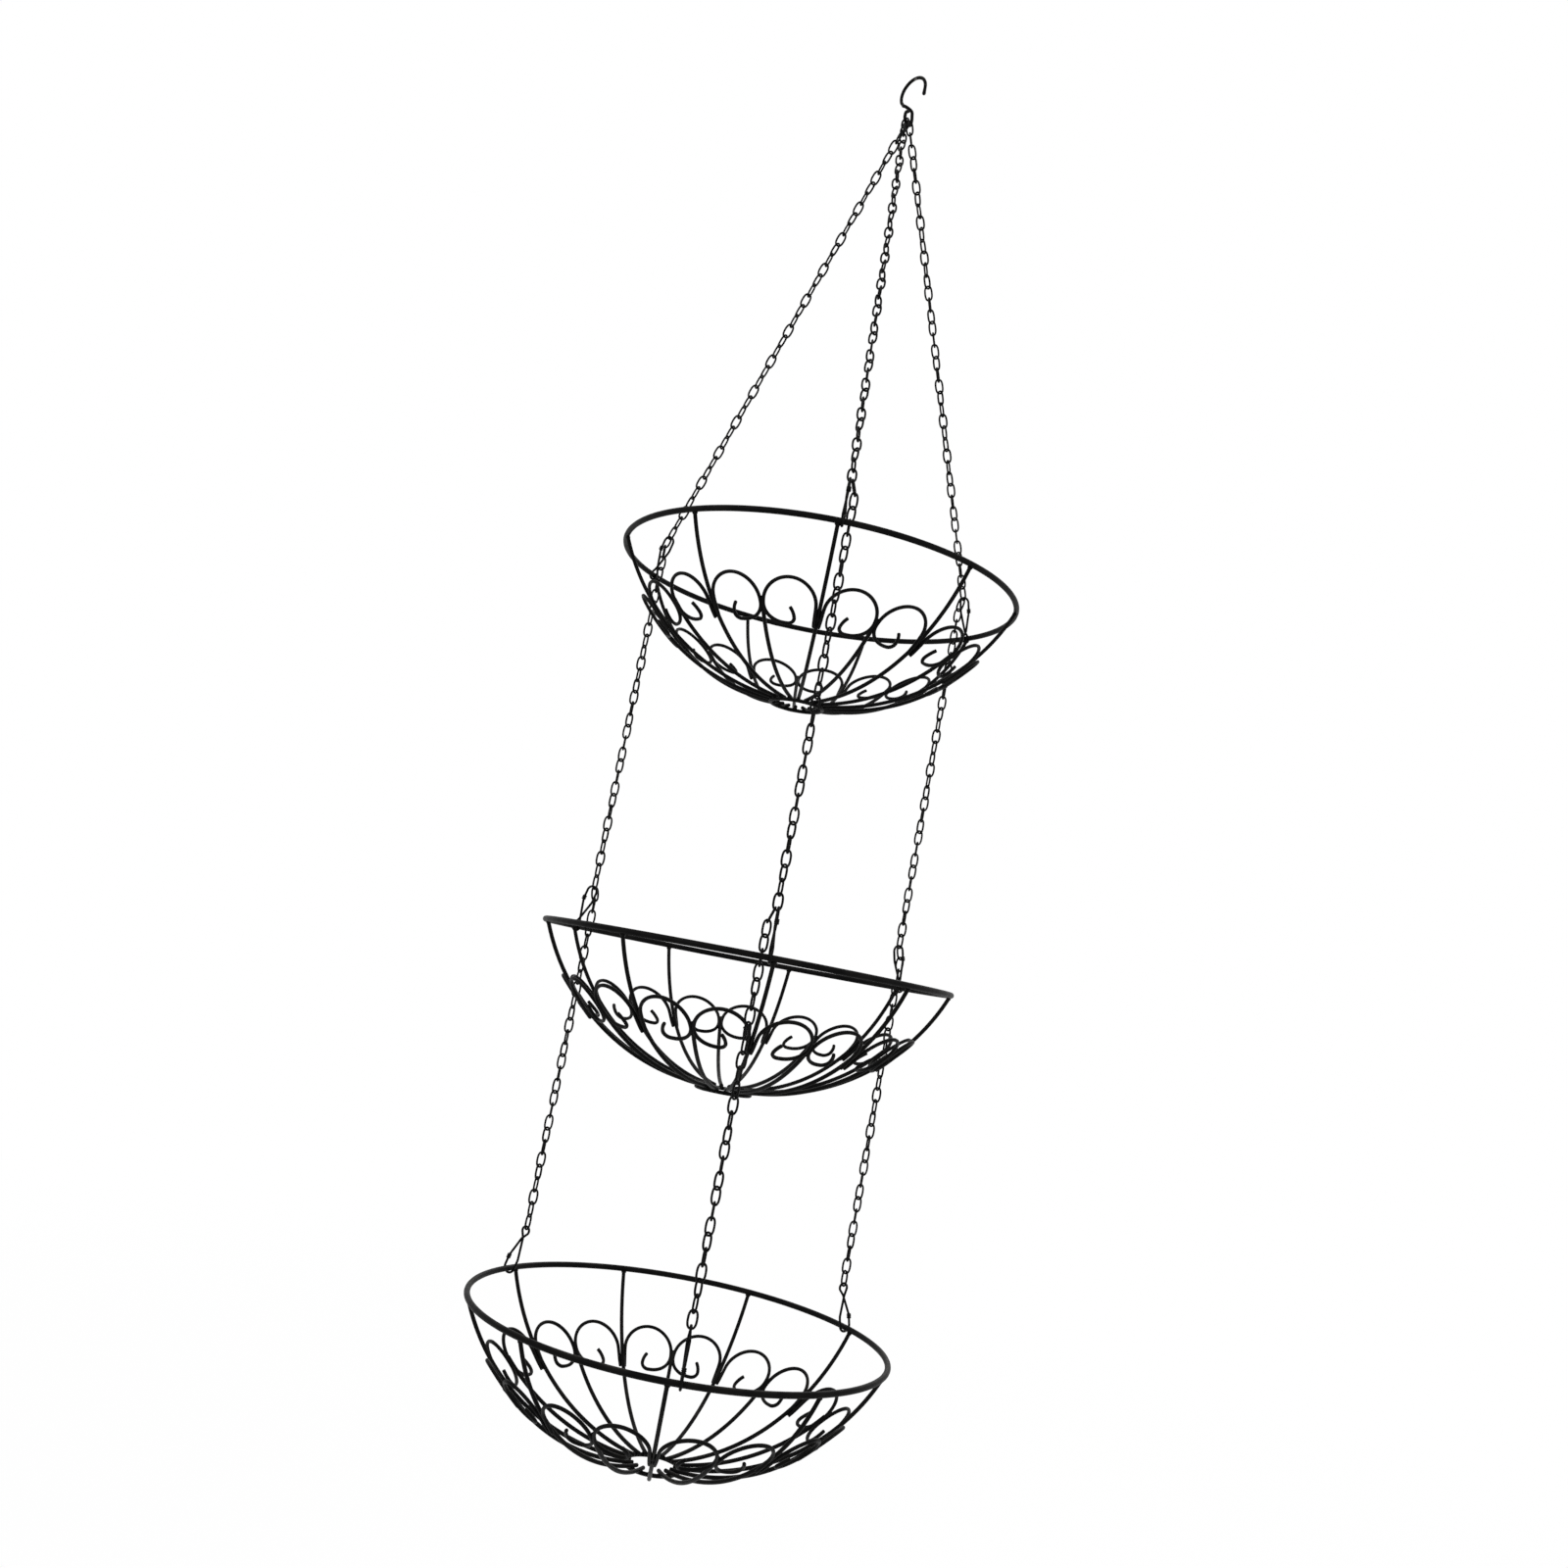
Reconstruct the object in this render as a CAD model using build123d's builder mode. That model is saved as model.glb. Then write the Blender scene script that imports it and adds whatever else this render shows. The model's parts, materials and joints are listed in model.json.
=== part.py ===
from build123d import *
import os
from math import acos, asin, cos, degrees, pi, radians, sin, sqrt

os.makedirs("parts", exist_ok=True)

# Hanging fruit basket: three round wire bowls, one under the other, on three chains.
# Origin: where the crook of the ceiling hook bears on what carries it. +Z is up.
# Every wire is a bar of few sides, swept along straight runs that lie in one plane.

# Driving dimensions of a bowl, in millimetres
rim_radius = 140.0
rim_wire = 4.0
wall_rise = 53.1
wall_axis_offset = 8.2
base_ring_radius = 18.5
base_ring_wire = 2.6
rib_wire = 2.6
rib_stub = 4.0
weld_gap = 0.12
base_weld_gap = 0.25
bay_count = 9

# Driving dimensions of a scroll, laid in a plane that touches the wall in a quarter of a bay
scroll_wire = 2.3
scroll_drop = 56.7
scroll_stand_off = 0.85
scroll_meeting_gap = 0.15
scroll_tail_reach = 15.0
scroll_tail_side = 2.3
scroll_lower_drop = 1.5
scroll_hook_radius = 4.0
scroll_hook_flat = 2.0
scroll_end_rise = 9.0
scroll_end_side = 3.4
short_rib_lap = 1.0

# Driving dimensions of the chains
link_wire = 1.35
link_width = 6.8
link_pitch = 8.72
link_play = 0.25
link_turn = 62.0
chain_inset = 8.0
upper_link_count = 41
middle_link_count = 31
lower_link_count = 28
drop_link_count = 8
chain_azimuths = {"front": -90.0, "right": 30.0, "left": 150.0}

# Driving dimensions of a spring clip
clip_wire = 1.6
clip_length = 36.5
clip_width = 9.0
clip_top_half = 2.3
clip_shoulder = 2.6
clip_arm = 11.0
clip_latch_drop = 7.0
clip_latch_gap = 0.35
clip_play = 0.15
clip_eye_half = 2.2
clip_eye_shoulder = 1.6
clip_pinch_rise = 2.8
clip_side = 1.0
clip_rib_gap = 0.3

# Driving dimensions of the ceiling hook
hook_wire = 2.5
crook_radius = 12.0
crook_tip_length = 4.3
hook_drop = 37.3
eye_radius = 4.65
eye_flat_half = 3.3
eye_shoulder = 2.8
eye_side_top = 6.2
eye_end_side = 1.6
eye_end_rise = 8.4
neck_side = 3.0
neck_rise = 10.4
neck_out_side = 3.6
neck_out_rise = 12.3
hook_heading = 50.0

# Shares and counts that are not lengths
three_side_share = 2 / 3
four_side_share = sqrt(pi / 8)
four_side_flat_share = four_side_share / sqrt(2)
six_side_share = sqrt(pi / (6 * sqrt(3)))
scroll_top_share = 0.957
scroll_lower_share = 0.816
eye_chain_shares = {"front": -0.88, "right": 0.865, "left": -0.075}
rim_run_count = 36
base_ring_run_count = 18
full_rib_run_count = 6
short_rib_run_count = 4
scroll_top_turns = [180.0, 144.0, 108.0, 72.0, 36.0, 0.0]
scroll_lower_turns = [-45.0, -90.0]
scroll_hook_turns = [-90.0, -180.0]
crook_turns = [0.0, 30.0, 60.0, 90.0, 120.0, 150.0, 180.0, 210.0]


def swept_wire(points, diameter, ridge, sides, share, closed=False):
    """One wire through the points; a ridge of its section points along ridge at its start."""
    start, second = Vector(*points[0]), Vector(*points[1])
    heading = (second - start).normalized()
    across = Vector(*ridge) - heading * heading.dot(Vector(*ridge))
    with BuildPart() as wire:
        with BuildLine() as path:
            Polyline(*points, close=closed)
        with BuildSketch(Plane(origin=start, x_dir=across, z_dir=heading)):
            RegularPolygon(diameter * share, sides)
        sweep(path=path.wires()[0], transition=Transition.RIGHT)
    return wire.part


def ring(radius, diameter, runs, sides, share, ridge_out, ridge_up):
    """A closed ring in the XY plane with a corner at azimuth 0, begun in the middle of a run."""
    step = 2 * pi / runs
    corners = [(radius * cos(step * i), radius * sin(step * i), 0) for i in range(1, runs + 1)]
    reach = radius * cos(step / 2)
    middle = (reach * cos(step / 2), reach * sin(step / 2), 0)
    ridge = (ridge_out * cos(step / 2), ridge_out * sin(step / 2), ridge_up)
    return swept_wire([middle] + corners, diameter, ridge, sides, share, closed=True)


# The wall of a bowl is an arc: its centre lies above the rim, a little off the bowl's axis
wall_radius = sqrt(wall_rise**2 + (rim_radius - wall_axis_offset) ** 2)
rim_angle = -asin(wall_rise / wall_radius)
base_angle = -acos((base_ring_radius - wall_axis_offset) / wall_radius)
base_drop = wall_radius * (rim_angle - base_angle)
base_depth = -wall_radius * sin(base_angle) - wall_rise


def wall_point(drop):
    """Radius and height of the wall at a length of wall below the rim."""
    angle = rim_angle - drop / wall_radius
    return wall_axis_offset + wall_radius * cos(angle), wall_rise + wall_radius * sin(angle)


def rib(first_drop, last_drop, runs):
    """A rib in the XZ plane that follows the wall, its ridge turned into the bowl."""
    step = (last_drop - first_drop) / runs
    places = [wall_point(first_drop + step * i) for i in range(runs + 1)]
    points = [(radius, 0, height) for radius, height in places]
    return swept_wire(points, rib_wire, (-1, 0, 1), 3, three_side_share)


# Rim and base ring
rim_half = rim_wire * four_side_flat_share
rib_ridge = rib_wire * three_side_share
rib_back = rib_ridge / 2
ring_back = base_ring_wire * three_side_share / 2
ring_depth = base_depth + rib_back + ring_back + base_weld_gap

with BuildPart() as rim:
    add(ring(rim_radius, rim_wire, rim_run_count, 4, four_side_share, 1, 1))

with BuildPart() as base_ring:
    with Locations((0, 0, -ring_depth)):
        add(ring(base_ring_radius, base_ring_wire, base_ring_run_count, 3, three_side_share, 0, -1))

# Full ribs run from the underside of the rim over the base ring
bay_angle = 360 / bay_count
rib_lean = pi / 2 + rim_angle
rib_start = (rim_half + rib_ridge * cos(rib_lean) + weld_gap) / sin(rib_lean)
rib_end = base_drop + rib_stub

with BuildPart() as full_ribs:
    with PolarLocations(0, bay_count):
        add(rib(rib_start, rib_end, full_rib_run_count))

# Short ribs stand half way between the full ones and begin under the meeting of two scrolls
with BuildPart() as short_ribs:
    with PolarLocations(0, bay_count, start_angle=bay_angle / 2):
        add(rib(scroll_drop - short_rib_lap, rib_end, short_rib_run_count))

# A scroll: tail beside a full rib, round over the top to mid-bay, back underneath, and a small hook
quarter_angle = bay_angle / 4
scroll_radius, scroll_height = wall_point(scroll_drop)
scroll_slope = rim_angle - scroll_drop / wall_radius
quarter_tangent = sin(radians(quarter_angle)) / cos(radians(quarter_angle))
scroll_half = scroll_wire * three_side_share * cos(radians(30))
meeting_clear = (scroll_half + scroll_meeting_gap) / cos(radians(quarter_angle))
scroll_right = scroll_radius * quarter_tangent - meeting_clear
scroll_top_radius = scroll_right * scroll_top_share
scroll_lower_radius = scroll_right * scroll_lower_share
scroll_centre = scroll_right - scroll_top_radius
tail_radius = scroll_radius + scroll_tail_reach * sin(scroll_slope)
tail_side = scroll_tail_side - tail_radius * quarter_tangent
lower_centre = scroll_right - scroll_lower_radius
lower_floor = -scroll_lower_drop - scroll_lower_radius
hook_centre_side = lower_centre - scroll_hook_flat
hook_centre_rise = lower_floor + scroll_hook_radius


def arc_points(side, rise, radius, turns):
    """Points of an arc about a centre, one at each turn in degrees."""
    return [(side + radius * cos(radians(t)), rise + radius * sin(radians(t))) for t in turns]


scroll_outline = [(tail_side, -scroll_tail_reach)]
scroll_outline += arc_points(scroll_centre, 0, scroll_top_radius, scroll_top_turns)
scroll_outline += arc_points(lower_centre, -scroll_lower_drop, scroll_lower_radius, scroll_lower_turns)
scroll_outline += arc_points(hook_centre_side, hook_centre_rise, scroll_hook_radius, scroll_hook_turns)
hook_side, hook_rise = scroll_outline[-1]
scroll_outline += [(hook_side + scroll_end_side, hook_rise + scroll_end_rise)]

# The plane of a scroll touches the wall a quarter of a bay before the short rib
quarter_turn = Location((0, 0, 0), (0, 0, quarter_angle))
wall_out = Vector(cos(scroll_slope), 0, sin(scroll_slope))
wall_up = Vector(-sin(scroll_slope), 0, cos(scroll_slope))
scroll_origin = Vector(scroll_radius, 0, scroll_height) + wall_out * scroll_stand_off
scroll_points = [scroll_origin + Vector(0, 1, 0) * side + wall_up * rise for side, rise in scroll_outline]

with BuildPart() as scroll_pair:
    with Locations(quarter_turn):
        add(swept_wire(scroll_points, scroll_wire, wall_out, 3, three_side_share))
    mirror(about=Plane.XZ.rotated((0, 0, bay_angle / 2)))

with BuildPart() as scrolls:
    with PolarLocations(0, bay_count):
        add(scroll_pair.part)

# One link: a rectangle of four runs with its ridge turned inward, long in Z and wide in X
link_ridge = link_wire * three_side_share
link_half_length = (link_pitch + link_play) / 2 + link_ridge
link_half_width = link_width / 2 - link_ridge / 2
link_corners = [
    (link_half_width, 0, link_half_length),
    (link_half_width, 0, -link_half_length),
    (-link_half_width, 0, -link_half_length),
    (-link_half_width, 0, link_half_length),
]

with BuildPart() as link:
    link_start = (0, 0, link_half_length)
    add(swept_wire([link_start] + link_corners, link_wire, (0, 0, -1), 3, three_side_share, closed=True))


def link_places(top, down, first_width, last_width, steps, first, count):
    """Places of links that hang in line from top, each turned about the line from the one above."""
    wanted = first_width.get_signed_angle(last_width, down)
    half_turns = round((link_turn * steps - wanted) / 180)
    turn = (wanted + 180 * half_turns) / steps
    places = []
    for i in range(first, first + count):
        centre = top + down * (link_pitch * (i + 0.5))
        width = first_width.rotate(Axis((0, 0, 0), down), turn * i)
        places.append(Plane(origin=centre, x_dir=width, z_dir=down).location)
    return places


# Heights of the three tiers follow from the counts of links
chain_radius = rim_radius - chain_inset
hook_ridge = hook_wire * six_side_share
eye_height = hook_wire / 2 - hook_drop
eye_play = hook_ridge + link_play / 2
upper_length = upper_link_count * link_pitch - eye_play
upper_height = sqrt(upper_length**2 - chain_radius**2)
link_side = link_ridge * cos(radians(30))
clip_ridge = clip_wire * three_side_share
clip_half = clip_ridge * cos(radians(30))
first_link_side = link_width / 2 - link_wire - link_side - link_play
drop_shift = clip_half - clip_side + 2 * link_play + link_width / 2 - first_link_side
drop_height = sqrt(link_pitch**2 - drop_shift**2)

clip_height = clip_length - clip_ridge
rim_reach = rim_wire * four_side_share + clip_play
clip_eye_side = rim_reach + clip_ridge
clip_reach = clip_height - clip_eye_side - clip_ridge - link_play / 2
clip_lean = asin(chain_inset / clip_reach)
clip_drop = clip_reach * cos(clip_lean)

node_heights = {"top": eye_height - upper_height}
node_heights["middle"] = node_heights["top"] - drop_height - (middle_link_count - 1) * link_pitch
node_heights["bottom"] = node_heights["middle"] - drop_height - (lower_link_count - 1) * link_pitch
rim_heights = {tier: height - clip_drop for tier, height in node_heights.items()}

# Sideways places, along the tangent at each chain: the lower chain hangs beside the clip above it
node_sides = {"top": 0.0, "middle": drop_shift + first_link_side, "bottom": 0.0}
chain_hands = {"top": 1, "middle": -1}
clip_sides = {"top": -clip_side, "middle": node_sides["middle"] + clip_side, "bottom": 0.0}
rib_offset = clip_half + clip_rib_gap + rib_ridge * cos(radians(30))
rib_sides = {"top": clip_sides["top"] - rib_offset, "middle": clip_sides["middle"] + rib_offset}
rib_sides["bottom"] = -rib_sides["middle"]

# The bowls
for tier, rim_height in rim_heights.items():
    rib_azimuth = chain_azimuths["front"] + degrees(asin(rib_sides[tier] / rim_radius))
    place = Location((0, 0, rim_height), (0, 0, rib_azimuth))
    pieces = {"rim": rim, "base_ring": base_ring, "full_ribs": full_ribs, "short_ribs": short_ribs}
    pieces["scrolls"] = scrolls
    for piece_name, piece in pieces.items():
        with BuildPart() as placed:
            with Locations(place):
                add(piece.part)
        placed.part.label = f"{tier}_{piece_name}"
        export_step(placed.part, f"parts/{tier}_{piece_name}.step")

# A spring clip in the XZ plane: wide end at the top, arms that close to a pinch, then a small eye
clip_side_half = clip_width / 2 - clip_ridge / 2
eye_centre = clip_height - clip_eye_side
pinch_half = clip_ridge + clip_play
pinch_rise = eye_centre - clip_eye_shoulder - clip_pinch_rise
clip_outline = [
    (clip_side_half, clip_latch_drop),
    (clip_side_half, clip_shoulder),
    (clip_top_half, 0),
    (-clip_top_half, 0),
    (-clip_side_half, clip_shoulder),
    (-clip_side_half, clip_arm),
    (-pinch_half, pinch_rise),
    (-clip_eye_side, eye_centre - clip_eye_shoulder),
    (-clip_eye_side, eye_centre + clip_eye_shoulder),
    (-clip_eye_half, clip_height),
    (clip_eye_half, clip_height),
    (clip_eye_side, eye_centre + clip_eye_shoulder),
    (clip_eye_side, eye_centre - clip_eye_shoulder),
    (pinch_half, pinch_rise),
    (clip_side_half, clip_arm),
    (clip_side_half, clip_latch_drop + clip_latch_gap),
]

with BuildPart() as clip:
    clip_points = [(side, 0, -drop) for side, drop in clip_outline]
    add(swept_wire(clip_points, clip_wire, (-1, 0, 0), 3, three_side_share))

# Clips lean from the node link out to the rim; those of the bottom bowl hang the other way up
wide_seat = clip_ridge + link_play / 2
clip_axis = Vector(sin(clip_lean), 0, -cos(clip_lean))
clip_across = Vector(cos(clip_lean), 0, sin(clip_lean))
for tier, node_height in node_heights.items():
    node = Vector(chain_radius, clip_sides[tier], node_height)
    if tier == "bottom":
        start = node + clip_axis * (clip_height - wide_seat)
        clip_plane = Plane(origin=start, x_dir=clip_across, z_dir=clip_axis)
    else:
        clip_plane = Plane(origin=node - clip_axis * wide_seat, x_dir=clip_across, z_dir=-clip_axis)
    for side, azimuth in chain_azimuths.items():
        turn = Location((0, 0, 0), (0, 0, azimuth))
        with BuildPart() as placed:
            with Locations(turn * clip_plane.location):
                add(clip.part)
        placed.part.label = f"{tier}_clip_{side}"
        export_step(placed.part, f"parts/{tier}_clip_{side}.step")

# The ceiling hook: crook, neck and closed eye in one upright plane
crook_rise = hook_drop - crook_radius
hook_outline = [(crook_radius, crook_rise - crook_tip_length)]
hook_outline += arc_points(0, crook_rise, crook_radius, crook_turns)
hook_outline += [
    (-neck_out_side, neck_out_rise),
    (neck_side, neck_rise),
    (eye_radius, eye_side_top),
    (eye_radius, eye_shoulder),
    (eye_flat_half, 0),
    (-eye_flat_half, 0),
    (-eye_radius, eye_shoulder),
    (-eye_radius, eye_side_top),
    (-eye_end_side, eye_end_rise),
]

with BuildPart() as ceiling_hook:
    hook_points = [(side, 0, eye_height + rise) for side, rise in hook_outline]
    with Locations(Location((0, 0, 0), (0, 0, hook_heading))):
        add(swept_wire(hook_points, hook_wire, (1, 0, 0), 6, six_side_share))
ceiling_hook.part.label = "ceiling_hook"
export_step(ceiling_hook.part, "parts/ceiling_hook.step")

# Upper chains, each from the eye to its node link; the eye's wire runs along the hook's heading
heading = Vector(cos(radians(hook_heading)), sin(radians(hook_heading)), 0)
beside = Vector(-sin(radians(hook_heading)), cos(radians(hook_heading)), 0)
for side, azimuth in chain_azimuths.items():
    outward = Vector(cos(radians(azimuth)), sin(radians(azimuth)), 0)
    tangent = Vector(-outward.Y, outward.X, 0)
    wire_point = heading * (eye_flat_half * eye_chain_shares[side]) + Vector(0, 0, eye_height)
    node = outward * chain_radius + Vector(0, 0, node_heights["top"])
    down = (node - wire_point).normalized()
    top = node - down * (upper_link_count * link_pitch)
    first_width = (beside - down * beside.dot(down)).normalized()
    places = link_places(top, down, first_width, tangent, upper_link_count - 1, 0, upper_link_count)
    with BuildPart() as chain:
        with Locations(*places):
            add(link.part)
    chain.part.label = f"upper_chain_{side}"
    export_step(chain.part, f"parts/upper_chain_{side}.step")

# Hanging chains: the first link slants aside past the clip, the next ones hang beside the bowl, the
# free run follows, and a node link ends the chain at the tier below
straight_down = Vector(0, 0, -1)
outward = Vector(1, 0, 0)
tangent = Vector(0, 1, 0)
lower_tiers = {"top": ("middle", middle_link_count), "middle": ("bottom", lower_link_count)}
held_links = {"top": [], "middle": [], "bottom": []}
for tier, (next_tier, count) in lower_tiers.items():
    hand = chain_hands[tier]
    hook_on = Vector(chain_radius, node_sides[tier] + hand * first_link_side, node_heights[tier])
    slant = Vector(0, hand * drop_shift, -drop_height).normalized()
    below = hook_on + slant * link_pitch
    held = [Plane(origin=hook_on + slant * (link_pitch / 2), x_dir=outward, z_dir=slant).location]
    start = below - straight_down * link_pitch
    last = count - 1
    held += link_places(start, straight_down, outward, tangent, last, 1, drop_link_count - 1)
    held_links[tier] += held
    run = link_places(start, straight_down, outward, tangent, last, drop_link_count, last - drop_link_count)
    held_links[next_tier] += link_places(start, straight_down, outward, tangent, last, last, 1)
    for side, azimuth in chain_azimuths.items():
        turn = Location((0, 0, 0), (0, 0, azimuth))
        with BuildPart() as chain:
            with Locations(*[turn * place for place in run]):
                add(link.part)
        chain.part.label = f"{next_tier}_chain_{side}"
        export_step(chain.part, f"parts/{next_tier}_chain_{side}.step")

for tier, places in held_links.items():
    for side, azimuth in chain_azimuths.items():
        turn = Location((0, 0, 0), (0, 0, azimuth))
        with BuildPart() as chain:
            with Locations(*[turn * place for place in places]):
                add(link.part)
        chain.part.label = f"{tier}_held_links_{side}"
        export_step(chain.part, f"parts/{tier}_held_links_{side}.step")

pivot_link = drop_link_count - 1
for tier in lower_tiers:
    print(tier, "pivot height", node_heights[tier] - drop_height - pivot_link * link_pitch)
print("eye axis height", eye_height)
print("chain radius", chain_radius)
print("node heights", node_heights)
print("rim heights", rim_heights)
print("chain sides", node_sides, "held chain shift", drop_shift)
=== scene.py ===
# %% [markdown]
# A hanging fruit basket: three round bowls of black wire, one below the other, carried by three
# link chains from one ceiling hook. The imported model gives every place; this script dresses it.
# The CAD wires are bars of few sides on straight runs, good for a physics engine but angular to
# look at. Each one is made again here as a smooth round wire that rides on the same body, so the
# basket still swings as the model says.

# %% Load the frame
import json
from math import acos, asin, atan2, copysign, cos, degrees, pi, radians, sin, sqrt, tan

import bmesh
import bpy
import numpy as np
from mathutils import Matrix, Vector, noise


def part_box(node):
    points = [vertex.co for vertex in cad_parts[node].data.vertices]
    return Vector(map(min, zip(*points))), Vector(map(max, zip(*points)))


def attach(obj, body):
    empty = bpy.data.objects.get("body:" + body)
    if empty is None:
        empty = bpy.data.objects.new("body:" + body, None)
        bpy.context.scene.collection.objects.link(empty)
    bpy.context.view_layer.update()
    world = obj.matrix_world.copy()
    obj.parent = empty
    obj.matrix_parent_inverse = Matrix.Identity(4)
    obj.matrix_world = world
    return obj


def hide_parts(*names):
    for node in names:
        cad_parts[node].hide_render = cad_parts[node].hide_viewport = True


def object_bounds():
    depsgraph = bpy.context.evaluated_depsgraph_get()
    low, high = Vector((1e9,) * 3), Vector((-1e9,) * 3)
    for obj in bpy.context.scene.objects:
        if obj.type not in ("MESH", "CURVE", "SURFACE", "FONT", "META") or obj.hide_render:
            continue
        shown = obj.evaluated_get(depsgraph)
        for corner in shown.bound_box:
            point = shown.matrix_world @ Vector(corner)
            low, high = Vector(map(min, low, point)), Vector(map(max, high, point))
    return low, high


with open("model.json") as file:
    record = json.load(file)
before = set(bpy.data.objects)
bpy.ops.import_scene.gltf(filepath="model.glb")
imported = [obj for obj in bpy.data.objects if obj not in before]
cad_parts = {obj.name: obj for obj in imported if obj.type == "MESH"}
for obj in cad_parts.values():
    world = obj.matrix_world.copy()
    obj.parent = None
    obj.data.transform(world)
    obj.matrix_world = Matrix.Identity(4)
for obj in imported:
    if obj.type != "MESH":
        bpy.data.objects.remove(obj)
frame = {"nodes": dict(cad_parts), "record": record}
cad_box = [[float(value) for value in corner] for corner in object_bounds()]
MM = 0.001
TIERS = ("top", "middle", "bottom")
SIDES = {"front": -90.0, "right": 30.0, "left": 150.0}
print("CAD box", cad_box)

# %% [markdown]
# The photograph was taken from about the height of the middle bowl, tilted slightly up and turned
# eleven degrees, so the whole basket leans in the picture though it hangs plumb. The camera is
# placed from the middle rim. Its position and angles were found by fitting the three rim circles,
# and the lens follows from the focal length in pixels of a picture 1600 pixels wide.

# %% The camera
PHOTO_WIDTH = 1600
FOCAL_PIXELS = 1443.15
SENSOR = 36.0
NEAREST_SEEN = 10.0 * MM
CAMERA_FROM_MIDDLE_RIM = Vector((-54.5, -975.5, -15.15)) * MM
YAW, PITCH, ROLL = radians(-3.3), radians(8.03), radians(10.78)


def rim_height(tier):
    """Height of the centre of a bowl's rim wire."""
    low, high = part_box(f"{tier}_rim")
    return (low[2] + high[2]) / 2


def place_camera():
    """A camera at the photograph's place, leaning with it."""
    across = Vector((cos(YAW), sin(YAW), 0))
    ahead = Vector((-sin(YAW) * cos(PITCH), cos(YAW) * cos(PITCH), sin(PITCH)))
    upward = across.cross(ahead)
    axis_x = across * cos(ROLL) + upward * sin(ROLL)
    axis_y = upward * cos(ROLL) - across * sin(ROLL)
    data = bpy.data.cameras.new("camera")
    data.sensor_width = SENSOR
    data.lens = FOCAL_PIXELS / PHOTO_WIDTH * SENSOR
    data.clip_start = NEAREST_SEEN
    camera = bpy.data.objects.new("camera", data)
    bpy.context.collection.objects.link(camera)
    turned = Matrix((axis_x, axis_y, -ahead)).transposed().to_4x4()
    spot = Vector((0, 0, rim_height("middle"))) + CAMERA_FROM_MIDDLE_RIM
    camera.matrix_world = Matrix.Translation(spot) @ turned
    bpy.context.scene.camera = camera
    return camera


camera = place_camera()
print("camera at", camera.matrix_world.translation.to_tuple(4), "lens", camera.data.lens)

# %% [markdown]
# Shader maths reads best as plain sums. A small class holds one socket of a node, and adding or
# multiplying sockets adds the Math nodes that do it. Every other node comes from one method of
# the graph, which takes the node's type, its settings and what goes into its sockets.


# %% Sockets that add up
class Socket:
    """One output of a shader node; sums and products of it add Math nodes."""

    def __init__(self, graph, output):
        self.graph = graph
        self.output = output

    def math(self, operation, first, second):
        return self.graph.add("ShaderNodeMath", {"operation": operation}, {0: first, 1: second})

    def __add__(self, other):
        return self.math("ADD", self, other)

    def __mul__(self, other):
        return self.math("MULTIPLY", self, other)

    def __sub__(self, other):
        return self.math("SUBTRACT", self, other)

    def __rsub__(self, other):
        return self.math("SUBTRACT", other, self)

    def above(self, low, high):
        """0 where the value is under low, 1 where it is over high, smooth between."""
        inputs = {"Value": self, "From Min": low, "From Max": high}
        return self.graph.add("ShaderNodeMapRange", {"interpolation_type": "SMOOTHSTEP"}, inputs)

    __radd__ = __add__
    __rmul__ = __mul__


class Graph:
    """The nodes of one material or world."""

    def __init__(self, owner):
        owner.use_nodes = True
        self.tree = owner.node_tree
        self.tree.nodes.clear()

    def add(self, kind, settings, inputs, output=0):
        """One node: its settings first, then a value or a link for each socket named."""
        node = self.tree.nodes.new(kind)
        for name, value in settings.items():
            setattr(node, name, value)
        for name, value in inputs.items():
            if isinstance(value, Socket):
                self.tree.links.new(value.output, node.inputs[name])
            else:
                node.inputs[name].default_value = value
        if not node.outputs:
            return None
        return Socket(self, node.outputs[output])

    def mix(self, share, first, second):
        """A colour between two colours."""
        inputs = {"Factor": share, "A": first, "B": second}
        node = self.tree.nodes.new("ShaderNodeMix")
        node.data_type = "RGBA"
        sockets = {socket.name: socket for socket in node.inputs if socket.enabled}
        for name, value in inputs.items():
            if isinstance(value, Socket):
                self.tree.links.new(value.output, sockets[name])
            else:
                sockets[name].default_value = value
        return Socket(self, next(socket for socket in node.outputs if socket.enabled))

    def clouds(self, place, scale, detail):
        """Cloudy values round 0.5; scale counts the clouds in a metre."""
        inputs = {"Vector": place, "Scale": scale, "Detail": detail}
        return self.add("ShaderNodeTexNoise", {}, inputs)


# %% [markdown]
# The wire is dipped in black enamel, which dries a little unevenly: satin in one place, glossier
# in the next, with a fine orange peel that breaks up the highlights. Dust settles on what faces
# up. Where steel rubs on steel, as at the ends of the links, the coat is worn through to grey
# metal. Each vertex carries how much it is rubbed, in an attribute called wear, and clouds decide
# where exactly the bare spots lie. Clouds are given by how many lie in a metre and their detail.

# %% Black enamel and lacquer
DUST = (0.07, 0.065, 0.058, 1.0)
STEEL = (0.30, 0.29, 0.28, 1.0)
SHINE = 0.045
BROAD_CLOUDS = (55.0, 3.0)
FLOW_CLOUDS = (260.0, 2.0)
GRAIN_CLOUDS = (1500.0, 1.0)
CLOUD_MEAN = 0.5
DUST_FACING = (0.55, 1.0)
DUST_PATCHES = (0.42, 0.7)
DUST_MOST = 0.3
WEAR_RAGGED = 0.9
WEAR_EDGE = (0.62, 0.86)
TONE_AND_SHEEN_PATCHES = (0.35, 0.75)
DUST_ROUGH, WEAR_ROUGH = 0.3, 0.08
GRAIN_HEIGHT, FLOW_HEIGHT, WEAR_DEPTH = 0.35, 0.65, 0.5
PEEL_STRENGTH = 0.35
STEEL_METALLIC = 0.9
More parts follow.
